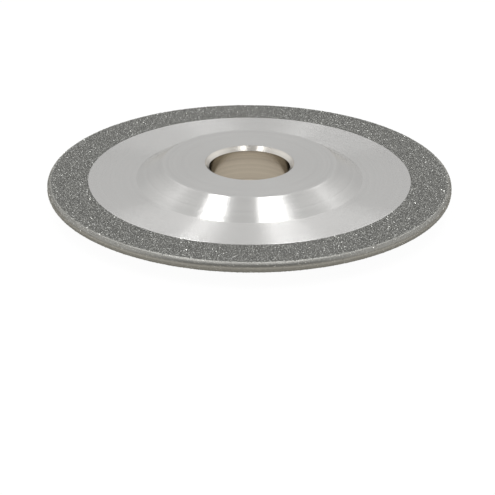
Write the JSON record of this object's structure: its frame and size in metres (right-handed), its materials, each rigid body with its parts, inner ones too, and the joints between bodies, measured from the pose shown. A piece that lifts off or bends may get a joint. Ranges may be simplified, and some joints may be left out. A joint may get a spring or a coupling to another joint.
{
  "type": "diamond grinding wheel",
  "caption": "Thin grinding wheel with a turned aluminium core, low conical hub on each side, sleeved bore and a plated diamond ring round the rim.",
  "frame": {"origin": "centre of the wheel: on the bore axis, half-way between the two hub faces", "axes": "+Z along the bore axis, out of the upper hub face; X and Y in the plane of the disc"},
  "size_m": [0.1, 0.1, 0.01],
  "materials": {
    "core_aluminium": "fine turned",
    "bush_steel": "bored and ground",
    "bond_nickel": "matt electroplated",
    "diamond_grit": "sharp glossy crystals"
  },
  "bodies": {
    "root": {"wheel_core": "core_aluminium", "bore_bush": "bush_steel", "nickel_bond": "bond_nickel", "face_grit": "diamond_grit", "edge_grit": "diamond_grit", "back_grit": "diamond_grit"}
  },
  "joints": []
}
